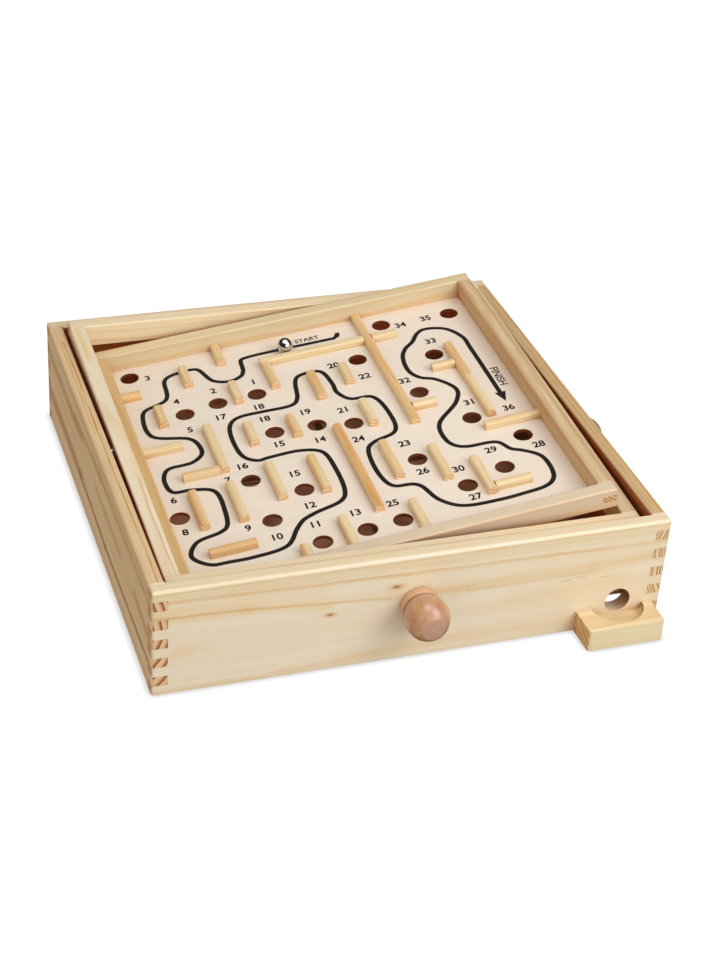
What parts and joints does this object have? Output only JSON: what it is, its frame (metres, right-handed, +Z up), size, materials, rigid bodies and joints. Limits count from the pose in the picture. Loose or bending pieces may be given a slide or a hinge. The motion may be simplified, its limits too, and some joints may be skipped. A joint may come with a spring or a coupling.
{
  "type": "wooden labyrinth game",
  "caption": "Square wooden box with a maze board that tilts both ways inside it, turned by knobs on two sides, to roll a steel ball past holes.",
  "frame": {"origin": "on the table, under the middle of the bounding box of the whole object, knobs and catch block counted", "axes": "+Z up, +Y from the front knob's wall to the back wall, +X to the right knob"},
  "size_m": [0.3474, 0.3474, 0.0955],
  "materials": {
    "pine_box": "pale sanded pine, clear satin lacquer",
    "pine_frame": "pale sanded pine, clear satin lacquer",
    "pine_tray": "pale sanded pine, clear satin lacquer",
    "pine_block": "sanded pine, clear satin lacquer",
    "pine_strip": "sanded pine strip",
    "amber_wood": "pine strip with darker orange heartwood",
    "plywood": "sanded birch plywood with a thin printed path and numbers",
    "beech": "turned beech, clear satin lacquer",
    "steel": "drawn steel wire and rod",
    "bright_steel": "polished bearing steel",
    "brass": "bright brass wire",
    "cord": "braided black polyester cord"
  },
  "bodies": {
    "box": {"front_wall": "pine_box", "back_wall": "pine_box", "left_wall": "pine_box", "right_wall": "pine_box", "floor_sheet": "plywood", "front_batten": "pine_strip", "back_batten": "pine_strip", "left_batten": "pine_strip", "right_batten": "pine_strip", "floor_brads": "steel", "catch_block": "pine_block"},
    "tilting_frame": {"frame_front_rail": "pine_frame", "frame_back_rail": "pine_frame", "frame_left_rail": "pine_frame", "frame_right_rail": "pine_frame", "frame_pins": "steel", "tray_pins": "steel", "frame_eyes": "brass", "frame_cord": "cord", "frame_spring": "steel"},
    "maze_tray": {"tray_front_wall": "pine_tray", "tray_back_wall": "pine_tray", "tray_left_wall": "pine_tray", "tray_right_wall": "pine_tray", "maze_board": "plywood", "long_sticks_back_left": "pine_strip", "long_sticks_back_right": "pine_strip", "long_sticks_front_left": "pine_strip", "long_sticks_front_right": "pine_strip", "cross_sticks_back_left": "pine_strip", "cross_sticks_back_right": "pine_strip", "cross_sticks_front_left": "pine_strip", "cross_sticks_front_right": "pine_strip", "elbow_sticks": "pine_strip", "amber_stick": "amber_wood", "tray_eyes": "brass", "tray_cord": "cord", "tray_spring": "steel"},
    "front_knob_shaft": {"front_shaft": "steel", "front_knob": "beech", "front_washer": "steel", "front_winding": "cord"},
    "right_knob_shaft": {"right_shaft": "steel", "right_knob": "beech", "right_washer": "steel", "right_winding": "cord"},
    "ball": {"steel_ball": "bright_steel"}
  },
  "joints": [
    {"name": "frame_tilt", "type": "hinge", "parent": "box", "child": "tilting_frame", "pos_m": [-0.01375, 0.01375, 0.0655], "axis": [1, 0, 0], "range_deg": [-7.8, 2.2], "deforming": ["frame_cord", "frame_spring"]},
    {"name": "tray_tilt", "type": "hinge", "parent": "tilting_frame", "child": "maze_tray", "pos_m": [-0.01375, 0.01375, 0.0655], "axis": [0, -0.9988, -0.0489], "range_deg": [-15.5, 0.5], "deforming": ["tray_cord", "tray_spring"]},
    {"name": "front_knob_turn", "type": "hinge", "parent": "box", "child": "front_knob_shaft", "pos_m": [-0.01375, -0.14625, 0.039], "axis": [0, -1, 0], "range_deg": [-155, 5.5]},
    {"name": "right_knob_turn", "type": "hinge", "parent": "box", "child": "right_knob_shaft", "pos_m": [0.14625, 0.01375, 0.033], "axis": [1, 0, 0], "range_deg": [-93, 27]},
    {"name": "ball_roll", "type": "slide", "parent": "maze_tray", "child": "ball", "axis": [0.9914, -0.0064, 0.1304], "range_m": [-0.036, 0.047]}
  ],
  "couplings": [
    {"joint": "front_knob_turn", "follows": "tray_tilt", "ratio": 9.9},
    {"joint": "right_knob_turn", "follows": "frame_tilt", "ratio": 11.83}
  ]
}
